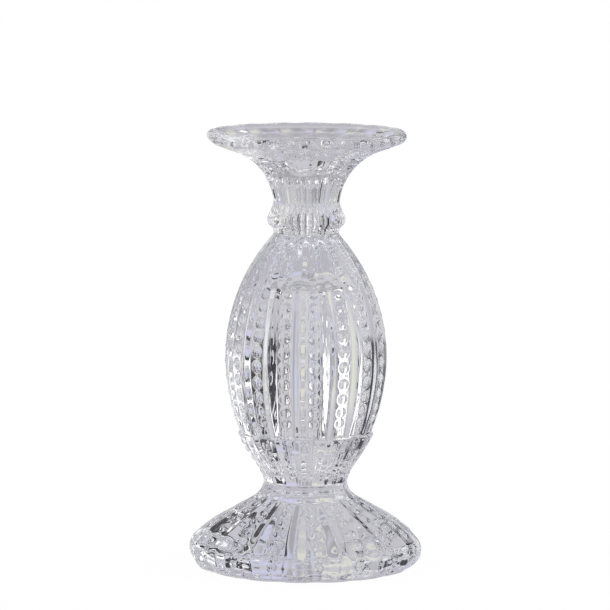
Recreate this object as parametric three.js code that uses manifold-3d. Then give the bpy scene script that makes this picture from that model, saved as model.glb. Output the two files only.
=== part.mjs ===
// Pressed-glass candlestick for a pillar candle or a taper, in millimetres, +Z up.
// The origin is the centre of the ring that it stands on, and Z is its axis.
// Three clear pressings are bonded end to end: a spreading foot with a cone on top, a hollow egg-shaped
// body, and a candle cup with a knop, a reeded neck and a wide plate. Sixteen beaded strips run up the
// whole outside, and between them stand sixteen V-shaped ribs.
import * as THREE from 'three';
import { mergeVertices } from 'three/addons/utils/BufferGeometryUtils.js';
import Module from 'manifold-3d';

const wasm = await Module();
wasm.setup();

// Driving dimensions.
const HEIGHT = 206;
const BOND = 0.2; // thickness of each clear adhesive layer
const FOOT_TOP = 64.4;
const BODY_BOTTOM = FOOT_TOP + BOND;
const BODY_TOP = 158.2;
const CUP_BOTTOM = BODY_TOP + BOND;
const BORE_R = 16.4; // mouth of the blind bore inside the body, which narrows a little towards its top
const FILM_IN_R = 17; // the ring of adhesive between the foot and the body
const FILM_OUT_R = 30.2;
const SEAT_Z = 201.8; // the flat of the plate, where a pillar candle stands
const SEAT_R = 35;
const WELL_R = 11.4; // mouth of the socket for a taper
const WELL_FLOOR_Z = 181.2;
const WELL_FLOOR_R = 7.4;

// The pattern that the mould cuts into every outside surface. Each period is a beaded strip and a rib of
// the same width; on the neck and the knop it turns into two plain reeds.
const STRIPS = 16;
const PERIOD = (2 * Math.PI) / STRIPS;
const RECESS = 0.018; // depth of a strip below the rib crests, as a share of the radius
const REED = 0.06; // depth of the grooves between the reeds, as a share of the radius
const REED_BOTTOM = 160;
const REED_TOP = 184;
const FADE = 3; // the strips run out over this height at the standing ring and at the rim

// The beads. Their sizes follow the width of the strip, and so the radius.
const BEAD_FILL = 0.84; // bead diameter as a share of the distance between two beads
const BEAD_SIDES = 6;

const at = (r, z) => new THREE.Vector2(r, z);
const spline = (...points) => new THREE.SplineCurve(points);

// Outlines of the outside over the rib crests, from the bottom up.
const footOutline = spline(
  at(45.2, 0), at(50.6, 1.7), at(53.8, 5.6), at(54.6, 10), at(53.2, 14.2), at(44.6, 22),
  at(31.2, 29.9), at(22.2, 35.6), at(19.6, 40.6), at(21.2, 46), at(27.6, 56), at(31.8, 63.4),
);
const bodyOutline = spline(
  at(31.1, BODY_BOTTOM + 0.5), at(34.8, 76.5), at(37.4, 90.5), at(37.9, 101), at(36.8, 113),
  at(33.5, 126.5), at(28.1, 139.3), at(21.5, 150), at(15.6, BODY_TOP - 0.8),
);
const cupOutline = spline(
  at(15.4, CUP_BOTTOM), at(15.6, 160.2), at(17.9, 162.6), at(18.2, 165.4), at(16.6, 169), at(16.1, 173.5),
  at(17.2, 179.4), at(21.6, 187.6), at(29.2, 194.2), at(40.4, 198.7), at(45.2, 200.9), at(46.65, 203.2),
  at(46.1, 205.2), at(44.8, HEIGHT),
);

// Outlines of the hollows, each from its end to its mouth or back.
const footHollow = spline(at(0, 5), at(14, 4.8), at(27, 4.2), at(37.6, 2.6), at(43, 0));
const bodyHollow = [at(0, 133.2), at(14, 133.2), at(15.1, 131.8), at(BORE_R, BODY_BOTTOM)];
const plateHollow = [at(43, 205), at(39.8, 203), at(SEAT_R, SEAT_Z), at(WELL_R + 1, SEAT_Z)];
const wellHollow = [
  at(WELL_R, SEAT_Z - 1.2), at(WELL_FLOOR_R + 1.6, WELL_FLOOR_Z + 1.4), at(WELL_FLOOR_R, WELL_FLOOR_Z),
  at(0, WELL_FLOOR_Z),
];

// Azimuths of the columns of vertices in one period of the pattern, from the middle of a strip at zero.
const flatStrip = [-0.25 * PERIOD, 0.25 * PERIOD, 0.5 * PERIOD];
const reededStrip = [-0.25 * PERIOD, 0, 0.25 * PERIOD, 0.5 * PERIOD];

// Radius of the outside at an azimuth of the pattern, where the rib crests have radius r.
function patternRadius(r, z, azimuth) {
  const isEdge = Math.abs(azimuth) === 0.25 * PERIOD;
  if (z > REED_BOTTOM && z < REED_TOP) return isEdge ? r * (1 - REED) : r;
  const fade = THREE.MathUtils.smoothstep(Math.min(z, HEIGHT - z) / FADE, 0, 1);
  return azimuth === 0.5 * PERIOD ? r : r * (1 - RECESS * fade);
}

// A profile revolved about Z as a solid, with the pattern on the points that the outline gives. The first
// strip points along +X.
function pressing(profile, outline = [], columns = flatStrip) {
  const patterned = new Set(outline);
  const geometry = new THREE.LatheGeometry(profile, STRIPS * columns.length).rotateX(Math.PI / 2);
  const position = geometry.getAttribute('position');
  for (let i = 0; i < position.count; i++) {
    const { x, y } = profile[i % profile.length];
    const column = Math.floor(i / profile.length) % (STRIPS * columns.length);
    const local = columns[column % columns.length];
    const r = patterned.has(profile[i % profile.length]) ? patternRadius(x, y, local) : x;
    const azimuth = Math.floor(column / columns.length) * PERIOD + local;
    position.setXYZ(i, r * Math.cos(azimuth), r * Math.sin(azimuth), y);
  }
  return solidOf(geometry);
}

function solidOf(geometry) {
  const bare = mergeVertices(geometry.deleteAttribute('normal').deleteAttribute('uv'), 1e-4);
  return new wasm.Manifold(new wasm.Mesh({
    numProp: 3,
    vertProperties: bare.getAttribute('position').array,
    triVerts: new Uint32Array(bare.index.array),
  }));
}

// All sixteen strips' beads along an outline between two heights: low domes that rise from the flat of
// the strip. The pitch is the distance between two beads as a share of the radius.
function beads(outline, bottom, top, pitch) {
  const length = outline.getLength();
  const domes = [];
  for (let s = 0; s < length;) {
    const { x: r, y: z } = outline.getPointAt(s / length);
    const tangent = outline.getTangentAt(s / length);
    if (z < bottom || z > top) {
      s += 0.1;
      continue;
    }
    const size = BEAD_FILL * pitch * r;
    const dome = new THREE.ConeGeometry(0.6 * size, 0.34 * size, BEAD_SIDES).rotateZ(-Math.PI / 2);
    dome.translate(0.07 * size, 0, 0).rotateY(Math.atan2(tangent.x, tangent.y));
    dome.translate(r * (1 - RECESS), 0, z);
    for (let k = 0; k < STRIPS; k++) domes.push(solidOf(dome.clone().rotateZ(k * PERIOD)));
    s += pitch * r;
  }
  return wasm.Manifold.union(domes);
}

function glass(name, solid) {
  const { vertProperties, triVerts } = solid.getMesh();
  const geometry = new THREE.BufferGeometry();
  geometry.setAttribute('position', new THREE.BufferAttribute(vertProperties, 3));
  geometry.setIndex(new THREE.BufferAttribute(triVerts, 1));
  geometry.computeVertexNormals();
  const material = new THREE.MeshStandardMaterial({ color: 0xe9ebee, roughness: 0.05, metalness: 0 });
  material.transparent = true;
  material.opacity = 0.4;
  const mesh = new THREE.Mesh(geometry, material);
  mesh.name = name;
  return mesh;
}

const footOutside = footOutline.getSpacedPoints(18);
const foot = pressing(
  [...footHollow.getSpacedPoints(5), ...footOutside, at(31.2, FOOT_TOP), at(0, FOOT_TOP)], footOutside,
).add(beads(footOutline, 6.5, 31, 0.15)).add(beads(footOutline, 45, 60.5, 0.19));

// The clear adhesive that bonds the body to the foot, a ring under the body's wall.
const footBond = pressing([
  at(FILM_IN_R, FOOT_TOP), at(FILM_OUT_R, FOOT_TOP), at(FILM_OUT_R, BODY_BOTTOM), at(FILM_IN_R, BODY_BOTTOM),
  at(FILM_IN_R, FOOT_TOP),
]);

const bodyOutside = bodyOutline.getSpacedPoints(12);
const body = pressing([
  ...bodyHollow, at(30.7, BODY_BOTTOM), ...bodyOutside, at(15.2, BODY_TOP),
  at(0, BODY_TOP),
], bodyOutside).add(beads(bodyOutline, 71, 154, 0.19));

// The clear adhesive that bonds the candle cup to the body, a disc on the body's solid crown.
const cupBond = pressing([
  at(0, BODY_TOP), at(14.6, BODY_TOP), at(14.6, CUP_BOTTOM), at(0, CUP_BOTTOM),
]);

const cupOutside = cupOutline.getSpacedPoints(22);
const candleCup = pressing(
  [at(0, CUP_BOTTOM), ...cupOutside, ...plateHollow, ...wellHollow], cupOutside, reededStrip,
).add(beads(cupOutline, 189, 201.5, 0.17));

const candlestick = new THREE.Group();
candlestick.add(
  glass('foot', foot), glass('foot_bond', footBond), glass('body', body), glass('cup_bond', cupBond),
  glass('candle_cup', candleCup),
);

export default candlestick;
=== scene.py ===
"""Looks of the pressed-glass candlestick: five finely meshed pieces of clear glass that stand for the five
CAD nodes, in soft studio light on a plain pale floor."""

import math

import bpy
import numpy as np
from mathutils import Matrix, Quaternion, Vector


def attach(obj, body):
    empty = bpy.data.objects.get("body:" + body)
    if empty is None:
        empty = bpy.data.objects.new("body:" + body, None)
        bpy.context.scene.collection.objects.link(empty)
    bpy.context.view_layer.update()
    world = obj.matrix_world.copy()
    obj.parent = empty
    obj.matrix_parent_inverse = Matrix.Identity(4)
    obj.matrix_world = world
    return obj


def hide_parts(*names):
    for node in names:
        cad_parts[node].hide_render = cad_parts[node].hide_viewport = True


MM = 0.001
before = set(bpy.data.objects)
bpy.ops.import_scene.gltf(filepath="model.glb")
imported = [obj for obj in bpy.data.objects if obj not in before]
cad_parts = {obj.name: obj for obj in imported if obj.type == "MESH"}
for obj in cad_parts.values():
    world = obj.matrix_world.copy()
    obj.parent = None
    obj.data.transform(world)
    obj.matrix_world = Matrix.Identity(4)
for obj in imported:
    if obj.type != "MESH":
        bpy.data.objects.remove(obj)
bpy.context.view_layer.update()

# ---------------------------------------------------------------- sizes, in millimetres

HEIGHT = 206.0
BOND = 0.2  # thickness of each clear adhesive layer
FOOT_TOP = 64.4
BODY_BOTTOM = FOOT_TOP + BOND
BODY_TOP = 158.2
CUP_BOTTOM = BODY_TOP + BOND
GAP = 0.03  # clearance between two pieces at a bond, so that no two faces coincide
BORE_R = 16.4  # mouth of the blind bore inside the body
FOOT_FILM_IN_R = 17.0
FOOT_FILM_OUT_R = 30.2
CUP_FILM_R = 14.6
SEAT_Z = 201.8
SEAT_R = 35.0
WAIST_Z = 44.0  # the beads below this height are on the spreading foot, and those above it on its cone
REED_TOP = 184.5  # the reeds of the knop and the neck end here
KNOP_TOP = 170.0

# The pattern: sixteen beaded strips, with a rib between every two.
STRIPS = 16
PERIOD = 2 * math.pi / STRIPS
HALF_STRIP = 0.26 * PERIOD
HALF_RIB = PERIOD / 2 - HALF_STRIP
RECESS = 0.02  # depth of a strip below the rib crests, as a share of the radius
BODY_DEEPER = 0.4  # how much deeper the strips of the body are, as a share of RECESS
FADE = (0.2, 3.0)  # the strips run out between these distances from the standing ring and from the rim
CREST_ROUND, CREST_DROP = 0.003, 0.055  # they take the edge off a rib's crest
REED = 0.04  # depth of the grooves between the reeds, as a share of the radius
NECK_REEDS = 2.2  # depth of the neck's reeds, as a multiple of REED
KNOP_REEDS_MORE = 1.2  # what the knop's reeds add to that

BEAD_WIDTH = 0.69  # radius of a bead as a share of half its strip
BEAD_SPACING = 0.46  # and at most this share of the distance to the next bead
BEAD_RISE = 0.42  # height of a bead as a share of its radius
BODY_BEAD_RISE = 0.55
FOOT_BEAD_RISE = 0.7  # share of the height that a bead on the spreading foot keeps
ROUND_BEAD, SOFT_BEAD = 0.75, 1.2  # the exponent of a dome: steep at its edge, or gentle
SOFT_BEADS_TOP = 40.0  # the beads below this height are the gentle ones

# The mesh.
STRIP_STEPS = 14  # columns of vertices across a strip
RIB_STEPS = 8  # and across a rib
ROW_STEP = 0.55


# ---------------------------------------------------------------- curves


def distances(points):
    """Distance of each point from the first one, along the line through them all."""
    return np.r_[0, np.cumsum(np.linalg.norm(np.diff(points, axis=0), axis=1))]


def spline(points, step):
    """Points about `step` apart along a smooth curve through the given (r, z) points."""
    p = np.array(points, float)
    chord = np.r_[0, np.cumsum(np.sqrt(np.linalg.norm(np.diff(p, axis=0), axis=1)))]
    slope = np.gradient(p, chord, axis=0)
    t = np.linspace(0, 1, 60, endpoint=False)[:, None]
    fine = []
    for i in range(len(p) - 1):
        h = chord[i + 1] - chord[i]
        fine.append(
            (2 * t**3 - 3 * t**2 + 1) * p[i]
            + (t**3 - 2 * t**2 + t) * h * slope[i]
            + (-2 * t**3 + 3 * t**2) * p[i + 1]
            + (t**3 - t**2) * h * slope[i + 1]
        )
    fine = np.vstack([*fine, p[-1:]])
    along = distances(fine)
    count = max(2, round(along[-1] / step))
    wanted = np.linspace(0, along[-1], count + 1)
    return np.c_[np.interp(wanted, along, fine[:, 0]), np.interp(wanted, along, fine[:, 1])]


def normals(outline):
    """Unit normals of an outline that runs upwards, pointing away from the axis."""
    t = np.gradient(outline, axis=0)
    t /= np.linalg.norm(t, axis=1)[:, None]
    return np.c_[t[:, 1], -t[:, 0]]


def smooth(x, low, high):
    t = np.clip((x - low) / (high - low), 0, 1)
    return t * t * (3 - 2 * t)


# ---------------------------------------------------------------- the pattern

# Columns of one period from the edge of a strip: across the strip, then across the rib. The middle of the
# first strip faces the front.
strip_columns = np.linspace(-HALF_STRIP, HALF_STRIP, STRIP_STEPS + 1)[:-1]
rib_columns = HALF_STRIP + np.linspace(0, 2 * HALF_RIB, RIB_STEPS + 1)[:-1]
LOCAL = np.tile(np.r_[strip_columns, rib_columns], STRIPS)
AZIMUTH = LOCAL + np.repeat(np.arange(STRIPS) * PERIOD, STRIP_STEPS + RIB_STEPS) - math.pi / 2
IN_RIB = LOCAL > HALF_STRIP - 1e-9
# 0 in the middle of a strip or a rib, and 1 at its edges.
ACROSS = np.abs(np.where(IN_RIB, (LOCAL - PERIOD / 2) / HALF_RIB, LOCAL / HALF_STRIP))
COLUMNS = len(AZIMUTH)


def relief(z):
    """How deep the pattern is at a height: it is shallower on the crown of the body and under the plate."""
    crown = 0.6 * smooth(z, 130, 144) * (z < BODY_TOP)
    funnel = 0.3 * smooth(z, 184, 190)
    lip = 0.4 * smooth(z, 199, 201)
    return 1 - crown - funnel - lip


def pattern(outline, places):
    """Height of the outside above the outline, for every row and column.

    The outline runs over the rib crests. `places` are the beads: (distance along the outline, radius,
    rise)."""
    r, z = outline[:, :1], outline[:, 1:]
    along = distances(outline)
    u = ACROSS[None]
    deeper = 1 + BODY_DEEPER * ((z > FOOT_TOP) & (z < BODY_TOP))
    depth = RECESS * r * deeper * relief(z) * smooth(np.minimum(z, HEIGHT - z), *FADE)
    flank = np.minimum(np.sqrt(u**2 + CREST_ROUND) - CREST_DROP, 1)
    flat = (r - depth) * (1 - math.cos(HALF_STRIP) / np.cos(LOCAL[None]))
    strips = np.where(IN_RIB[None], -depth * flank, -depth - flat)
    for s, radius, rise in places:
        near = np.abs(along - s) < radius
        up = along[near][:, None] - s
        side = LOCAL[None] * r[near]
        rho = (up**2 + side**2) / radius**2
        exponent = SOFT_BEAD if z[near].max() < SOFT_BEADS_TOP else ROUND_BEAD
        dome = rise * np.clip(1 - rho, 0, 1) ** exponent
        strips[near] += np.where(IN_RIB[None], 0, dome)
    reeds = -REED * r * u**2 * (NECK_REEDS + KNOP_REEDS_MORE * smooth(z, KNOP_TOP + 1.5, KNOP_TOP - 1.5))
    reeded = (1 - smooth(z, REED_TOP - 0.8, REED_TOP + 0.8)) * (z > BODY_TOP)
    return strips * (1 - reeded) + reeds * reeded


def bead_places(outline, heights, rise=BEAD_RISE):
    """Beads whose middles lie at these heights, each as large as its strip and its neighbours let it be."""
    along = distances(outline)
    middles = [along[np.argmin(np.abs(outline[:, 1] - z))] for z in heights]
    places = []
    for i, (here, z) in enumerate(zip(middles, heights)):
        r = np.interp(here, along, outline[:, 0])
        spacing = min(abs(here - other) for j, other in enumerate(middles) if j != i)
        radius = min(BEAD_WIDTH * HALF_STRIP * r, BEAD_SPACING * spacing) * (0.5 + 0.5 * relief(z))
        kept = FOOT_BEAD_RISE if z < WAIST_Z else 1
        places.append((here, radius, rise * radius * relief(z) * kept))
    return places


# ---------------------------------------------------------------- meshes


def patterned_rings(outline, places):
    heights = pattern(outline, places)
    return [(p[0] + n[0] * h, p[1] + n[1] * h) for p, n, h in zip(outline, normals(outline), heights)]


def plain_rings(outline):
    return [(np.full(COLUMNS, r), np.full(COLUMNS, z)) for r, z in outline]


def piece(name, rings, node):
    """A closed surface from rings of (radius per column, height per column), in place of a CAD node.

    It starts and ends on the axis, where a ring is a single vertex, or its last ring lies on its first."""
    vertices, rows, count = [], [], 0
    for r, z in rings:
        if np.max(r) < 1e-6:
            vertices.append([[0, 0, float(np.mean(z))]])
            rows.append(np.full(COLUMNS, count))
        else:
            vertices.append(np.c_[r * np.cos(AZIMUTH), r * np.sin(AZIMUTH), z])
            rows.append(np.arange(count, count + COLUMNS))
        count += len(vertices[-1])
    faces = []
    for low, high in zip(rows, rows[1:]):
        low_next, high_next = np.roll(low, -1), np.roll(high, -1)
        if low[0] == low[1]:
            faces += np.c_[low, high_next, high].tolist()
        elif high[0] == high[1]:
            faces += np.c_[low, low_next, high].tolist()
        else:
            faces += np.c_[low, low_next, high_next, high].tolist()
    mesh = bpy.data.meshes.new(name)
    mesh.from_pydata(np.vstack(vertices) * MM, [], faces)
    mesh.validate()
    mesh.polygons.foreach_set("use_smooth", [True] * len(mesh.polygons))
    mesh.update()
    obj = bpy.data.objects.new(name, mesh)
    bpy.context.scene.collection.objects.link(obj)
    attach(obj, "root")
    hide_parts(node)
    return obj


def foot_piece():
    outline = spline(
        [(45.2, 0), (50.6, 1.7), (53.8, 5.6), (54.6, 10), (53.2, 14.2), (44.6, 22), (31.2, 29.9),
         (22.2, 35.6), (19.6, 40.6), (21.2, 46), (27.6, 56), (31.8, 63.4)], ROW_STEP)
    hollow = spline([(0, 5), (14, 4.8), (27, 4.2), (37.6, 2.6), (42.2, 1.2), (43, 0.6), (43.7, 0)], 1.6)
    beads = bead_places(outline, [7.9, 12.4, 18.7, 22.8, 27.0, 30.2, 33, 46, 49, 52.3, 56, 60])
    top = FOOT_TOP - GAP
    return piece(
        "foot_glass",
        plain_rings(hollow)
        + patterned_rings(outline, beads)
        + plain_rings([(31.5, FOOT_TOP - 0.2), (31.1, top), (28, top), (0, top)]),
        "foot",
    )


def body_piece():
    outline = spline(
        [(31.1, 65.1), (34.8, 76.5), (37.4, 90.5), (37.9, 101), (36.8, 113), (33.5, 126.5),
         (28.1, 139.3), (21.5, 150), (15.6, 157.4)], ROW_STEP)
    bore = np.vstack([
        spline([(0, 134.6), (6, 134.3), (11, 133.0), (13.9, 131.2)], 1),
        spline([(14.4, 130.6), (14.9, 129.7), (15.1, 128.6)], 0.5),
        spline([(15.3, 127), (BORE_R, 65.4)], 2),
    ])
    beads = bead_places(
        outline,
        [71.8, 77.2, 83.6, 90.9, 98.2, 105.4, 112.6, 119.4, 126.4, 132.3, 138.4, 143.9, 148.5, 152.6],
        BODY_BEAD_RISE)
    bottom, top = BODY_BOTTOM + GAP, BODY_TOP - GAP
    return piece(
        "body_glass",
        plain_rings(bore)
        + plain_rings([(FOOT_FILM_IN_R, bottom), (30.4, bottom)])
        + patterned_rings(outline, beads)
        + plain_rings([(15.2, top), (12, top), (0, top)]),
        "body",
    )


def cup_piece():
    bottom = CUP_BOTTOM + GAP
    outline = spline(
        [(15.4, bottom), (15.6, 160.2), (17.9, 162.6), (18.2, 165.4), (16.6, 169), (15.5, 172.6),
         (16.3, 177), (17.6, 181), (21.6, 187.6), (29.2, 194.2), (40.4, 198.7), (45.2, 200.9), (46.65, 203.2),
         (46.1, 205.2), (44.8, HEIGHT)], ROW_STEP)
    beads = bead_places(outline, [188.6, 192.0, 195.2, 198.4])
    dish = spline([(43.9, 205.7), (42.6, 204.6), (39.8, 202.9), (37.6, 202.1), (35.5, 201.83)], 0.8)
    seat = spline([(SEAT_R, SEAT_Z), (20, SEAT_Z), (12.6, SEAT_Z)], 3.0)
    socket = spline(
        [(11.9, 201.5), (11.3, 200.4), (10.4, 192), (9.4, 184), (8.7, 182.1), (7, 181.3), (0, 181.2)], 1.2)
    return piece(
        "candle_cup_glass",
        plain_rings([(0, bottom), (12, bottom)])
        + patterned_rings(outline, beads)
        + plain_rings(dish)
        + plain_rings(seat)
        + plain_rings(socket),
        "candle_cup",
    )


def foot_bond_piece():
    low, high = FOOT_TOP, BODY_BOTTOM
    ring = [(FOOT_FILM_IN_R, low), (FOOT_FILM_OUT_R, low), (FOOT_FILM_OUT_R, high), (FOOT_FILM_IN_R, high)]
    return piece("foot_bond_film", plain_rings([*ring, ring[0]]), "foot_bond")


def cup_bond_piece():
    low, high = BODY_TOP, CUP_BOTTOM
    disc = [(0, low), (CUP_FILM_R, low), (CUP_FILM_R, high), (0, high)]
    return piece("cup_bond_film", plain_rings(disc), "cup_bond")


# ---------------------------------------------------------------- materials


def glass(name, seed):
    """Clear pressed glass: slightly uneven gloss, the faint waves of a mould, and a breath of grey."""
    material = bpy.data.materials.new(name)
    material.use_nodes = True
    nodes, links = material.node_tree.nodes, material.node_tree.links
    shader = nodes["Principled BSDF"]
    shader.inputs["Base Color"].default_value = (1, 1, 1, 1)
    shader.inputs["Transmission Weight"].default_value = 1
    shader.inputs["IOR"].default_value = 1.5
    place = nodes.new("ShaderNodeTexCoord")

    def noise(scale, detail):
        node = nodes.new("ShaderNodeTexNoise")
        node.noise_dimensions = "4D"
        node.inputs["W"].default_value = seed
        node.inputs["Scale"].default_value = scale
        node.inputs["Detail"].default_value = detail
        links.new(place.outputs["Object"], node.inputs["Vector"])
        return node.outputs["Fac"]

    gloss = nodes.new("ShaderNodeMapRange")
    gloss.inputs["From Min"].default_value = 0.45
    gloss.inputs["From Max"].default_value = 0.75
    gloss.inputs["To Min"].default_value = 0.01
    gloss.inputs["To Max"].default_value = 0.04
    links.new(noise(130, 3), gloss.inputs["Value"])
    links.new(gloss.outputs["Result"], shader.inputs["Roughness"])
    waves = nodes.new("ShaderNodeBump")
    waves.inputs["Strength"].default_value = 0.1
    waves.inputs["Distance"].default_value = 0.0006
    links.new(noise(90, 1), waves.inputs["Height"])
    links.new(waves.outputs["Normal"], shader.inputs["Normal"])
    tint = nodes.new("ShaderNodeVolumeAbsorption")
    tint.inputs["Color"].default_value = (0.90, 0.92, 0.96, 1)
    tint.inputs["Density"].default_value = 4.0
    links.new(tint.outputs["Volume"], nodes["Material Output"].inputs["Volume"])
    return material


pieces = [
    (foot_piece(), "foot_clear"), (body_piece(), "body_clear"), (cup_piece(), "cup_clear"),
    (foot_bond_piece(), "lower_film"), (cup_bond_piece(), "upper_film"),
]
for number, (obj, name) in enumerate(pieces):
    obj.data.materials.append(glass(name, seed=float(number)))

# ---------------------------------------------------------------- camera, in metres

CAMERA_TURN = math.radians(-6.4)  # about Z, from the front of the object
CAMERA_REACH = 2.5797
CAMERA_HEIGHT = 0.4241
CAMERA_ROLL = math.radians(0.23)
AIM_LEFT = 0.0005  # how far to the left of the axis the camera aims, as it sees it
AIM_HEIGHT = 0.1241

camera_data = bpy.data.cameras.new("camera")
camera_data.lens = 327.8
camera_data.sensor_width = 36
camera_data.clip_start, camera_data.clip_end = 0.1, 50
camera = bpy.data.objects.new("camera", camera_data)
bpy.context.scene.collection.objects.link(camera)
towards_camera = Vector((math.sin(CAMERA_TURN), -math.cos(CAMERA_TURN), 0))
to_its_right = Vector((math.cos(CAMERA_TURN), math.sin(CAMERA_TURN), 0))
camera.location = CAMERA_REACH * towards_camera + Vector((0, 0, CAMERA_HEIGHT))
aim = -AIM_LEFT * to_its_right + Vector((0, 0, AIM_HEIGHT))
look = (aim - camera.location).to_track_quat("-Z", "Y")
camera.rotation_euler = (look @ Quaternion((0, 0, 1), CAMERA_ROLL)).to_euler()
bpy.context.scene.camera = camera

# ---------------------------------------------------------------- light

scene = bpy.context.scene
scene.view_settings.view_transform = "Standard"
scene.view_settings.look = "None"
scene.cycles.max_bounces = 24
scene.cycles.transmission_bounces = 24
scene.cycles.glossy_bounces = 16

world = bpy.data.worlds.new("studio")
scene.world = world
world.use_nodes = True
nodes, links = world.node_tree.nodes, world.node_tree.links
nodes.clear()


def maths(operation, *values):
    """A Math node. Each value is a number or another node's output."""
    node = nodes.new("ShaderNodeMath")
    node.operation = operation
    for socket, value in zip(node.inputs, values):
        if isinstance(value, (int, float)):
            socket.default_value = value
        else:
            links.new(value, socket)
    return node.outputs[0]


# Azimuth 0 is behind the object as the camera sees it, 90 is to its right; elevation 0 is level. In degrees.
coordinates = nodes.new("ShaderNodeTexCoord")
turned = nodes.new("ShaderNodeVectorRotate")
turned.rotation_type = "Z_AXIS"
turned.inputs["Angle"].default_value = -CAMERA_TURN
links.new(coordinates.outputs["Generated"], turned.inputs["Vector"])
direction = nodes.new("ShaderNodeSeparateXYZ")
links.new(turned.outputs[0], direction.inputs[0])
azimuth = maths("MULTIPLY", maths("ARCTAN2", direction.outputs[0], direction.outputs[1]), 180 / math.pi)
elevation = maths("MULTIPLY", maths("ARCSINE", direction.outputs[2]), 180 / math.pi)


def edge(value, at, softness):
    """0 below `at` and 1 above it, with a soft step between them."""
    node = nodes.new("ShaderNodeMapRange")
    node.interpolation_type = "SMOOTHSTEP"
    links.new(value, node.inputs["Value"])
    node.inputs["From Min"].default_value = at - softness
    node.inputs["From Max"].default_value = at + softness
    return node.outputs["Result"]


def panel(centre, size, softness):
    """1 inside a rectangle of directions and 0 outside it. centre and size are (azimuth, elevation)."""
    away = maths("ABSOLUTE", maths("WRAP", maths("SUBTRACT", azimuth, centre[0]), -180, 180))
    up = maths("ABSOLUTE", maths("SUBTRACT", elevation, centre[1]))
    return maths(
        "MULTIPLY",
        maths("SUBTRACT", 1, edge(away, size[0] / 2, softness)),
        maths("SUBTRACT", 1, edge(up, size[1] / 2, softness)),
    )


def blend(mask, below, above):
    """`below` where the mask is 0 and `above` where it is 1. Each is a colour or another node's output."""
    node = nodes.new("ShaderNodeMix")
    node.data_type = "RGBA"
    links.new(mask, node.inputs["Factor"])
    for socket, value in ((node.inputs["A"], below), (node.inputs["B"], above)):
        if isinstance(value, tuple):
            socket.default_value = (*value, 1)
        else:
            links.new(value, socket)
    return node.outputs["Result"]


# What stands around the object: middle, size, softness and colour. Each covers the ones before it.
ROOM = (0.50, 0.49, 0.53)
BACKDROP = [
    ((-110, 20), (120, 42), 8, (0.78, 0.77, 0.80)),  # broad soft box on the left
    ((0, 0), (34, 120), 4, (0.55, 0.54, 0.58)),  # grey sheet behind the object
    ((0, 20), (34, 28), 6, (0.60, 0.59, 0.63)),  # its paler upper half
    ((-10, -12), (10, 36), 3, (0.76, 0.76, 0.67)),  # warm strip on it
    ((10, -12), (10, 36), 3, (0.62, 0.63, 0.82)),  # lilac strip on it
    ((0, 2), (5, 40), 2, (0.40, 0.39, 0.42)),  # grey strip between the two
    ((125, 24), (130, 34), 6, (1.05, 1.05, 1.03)),  # broad soft box on the right
]
CEILING_FROM, CEILING = 42, (0.36, 0.36, 0.38)
LAMPS_AND_FLAGS = [
    ((165, 30), (90, 24), 4, (1.3, 1.3, 1.3)),  # main lamp above the camera
    ((-24, -16), (9, 24), 2, (0.82, 0.81, 0.88)),  # low pale strips behind the object, left
    ((28, -14), (9, 24), 2, (0.84, 0.83, 0.88)),  # and right
    ((42, -16), (8, 24), 2, (0.34, 0.34, 0.35)),  # low grey strip
    ((-92, 14), (28, 36), 3, (1.5, 1.5, 1.5)),  # bright box on the left
    ((62, 13), (52, 42), 3, (1.5, 1.5, 1.47)),  # bright box on the right
    ((-51, 9), (46, 44), 2, (0.01, 0.01, 0.02)),  # black flag on the left
    ((24, 11), (17, 38), 2, (0.02, 0.02, 0.02)),  # black flag on the right
]
GROUND_FROM, GROUND = -28, (0.50, 0.48, 0.53)
# Painted shade: looking straight down, the glass sees the floor darker. This stands in for the shadow that
# the glass casts under itself.
UNDER_SHADE_FROM, UNDER_SHADE = -74, (0.20, 0.20, 0.21)

light = ROOM
for centre, size, softness, colour in BACKDROP:
    light = blend(panel(centre, size, softness), light, colour)
light = blend(edge(elevation, CEILING_FROM, 5), light, CEILING)
for centre, size, softness, colour in LAMPS_AND_FLAGS:
    light = blend(panel(centre, size, softness), light, colour)
light = blend(edge(elevation, GROUND_FROM, 3), GROUND, light)
light = blend(edge(elevation, UNDER_SHADE_FROM, 4), UNDER_SHADE, light)
# The camera itself sees plain white behind the object.
light = blend(nodes.new("ShaderNodeLightPath").outputs["Is Camera Ray"], light, (1, 1, 1))
background = nodes.new("ShaderNodeBackground")
links.new(light, background.inputs["Color"])
links.new(background.outputs[0], nodes.new("ShaderNodeOutputWorld").inputs[0])

# ---------------------------------------------------------------- floor

# A pale floor that glows a little, so that it stays nearly white. The glass shows the lamps and not the
# floor.
FLOOR_DROP = 0.1  # the floor lies this far below the standing ring, so that the two faces don't coincide
bpy.ops.mesh.primitive_plane_add(size=8, location=(0, 0, -FLOOR_DROP * MM))
floor = bpy.context.object
floor.name = "floor"
floor.visible_transmission = False
floor.visible_glossy = False
sweep = bpy.data.materials.new("pale_sweep")
floor.data.materials.append(sweep)
sweep.use_nodes = True
pale = sweep.node_tree.nodes["Principled BSDF"]
pale.inputs["Base Color"].default_value = (0.04, 0.04, 0.04, 1)
pale.inputs["Roughness"].default_value = 1.0
pale.inputs["Specular IOR Level"].default_value = 0.0
pale.inputs["Emission Color"].default_value = (1, 1, 1, 1)
pale.inputs["Emission Strength"].default_value = 0.975
